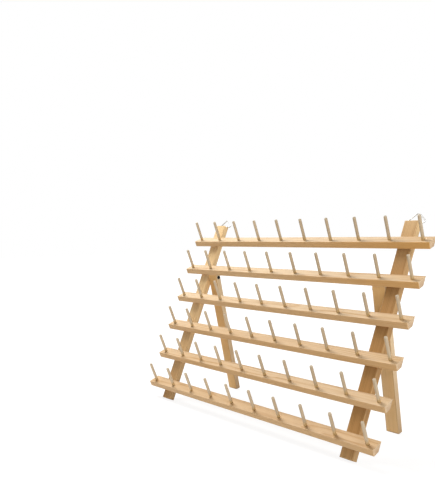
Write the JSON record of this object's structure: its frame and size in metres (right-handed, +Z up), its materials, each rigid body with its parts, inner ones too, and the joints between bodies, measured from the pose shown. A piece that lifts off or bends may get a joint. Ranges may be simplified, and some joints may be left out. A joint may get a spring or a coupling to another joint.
{
  "type": "folding thread rack",
  "caption": "Folding wooden thread rack with sloped rails of slim pegs on flat front legs, hinged back legs that prop it up, and wire rings for hanging it on a wall.",
  "frame": {"origin": "on the floor, under the middle of the opened rack", "axes": "+X to the right along the rails, +Y to the back, +Z up"},
  "size_m": [0.399, 0.1353, 0.2614],
  "materials": {
    "pine": "sanded, clear satin",
    "dowel": "sanded, bare",
    "bright_steel": "bright plated",
    "dark_steel": "black oxide"
  },
  "bodies": {
    "rack": {"rail_1": "pine", "pegs_row_1": "dowel", "rail_2": "pine", "pegs_row_2": "dowel", "rail_3": "pine", "pegs_row_3": "dowel", "rail_4": "pine", "pegs_row_4": "dowel", "rail_5": "pine", "pegs_row_5": "dowel", "rail_6": "pine", "pegs_row_6": "dowel", "left_front_leg": "pine", "left_pivot_screw": "dark_steel", "left_rail_nails": "bright_steel", "left_hanger_strap": "bright_steel", "left_hanger_screw": "bright_steel", "right_front_leg": "pine", "right_pivot_screw": "dark_steel", "right_rail_nails": "bright_steel", "right_hanger_strap": "bright_steel", "right_hanger_screw": "bright_steel"},
    "left_prop": {"left_back_leg": "pine"},
    "right_prop": {"right_back_leg": "pine"},
    "left_ring": {"left_hanger_ring": "bright_steel"},
    "right_ring": {"right_hanger_ring": "bright_steel"}
  },
  "joints": [
    {"name": "left_back_leg_fold", "type": "hinge", "parent": "rack", "child": "left_prop", "pos_m": [-0.155, 0.02322, 0.17657], "axis": [-1, 0, 0], "range_deg": [0, 36]},
    {"name": "right_back_leg_fold", "type": "hinge", "parent": "rack", "child": "right_prop", "pos_m": [0.155, 0.02322, 0.17657], "axis": [-1, 0, 0], "range_deg": [0, 36]},
    {"name": "left_ring_swing", "type": "hinge", "parent": "rack", "child": "left_ring", "pos_m": [-0.16375, 0.06217, 0.25009], "axis": [-1, 0, 0], "range_deg": [-90, 165]},
    {"name": "right_ring_swing", "type": "hinge", "parent": "rack", "child": "right_ring", "pos_m": [0.16375, 0.06217, 0.25009], "axis": [-1, 0, 0], "range_deg": [-90, 165]}
  ]
}
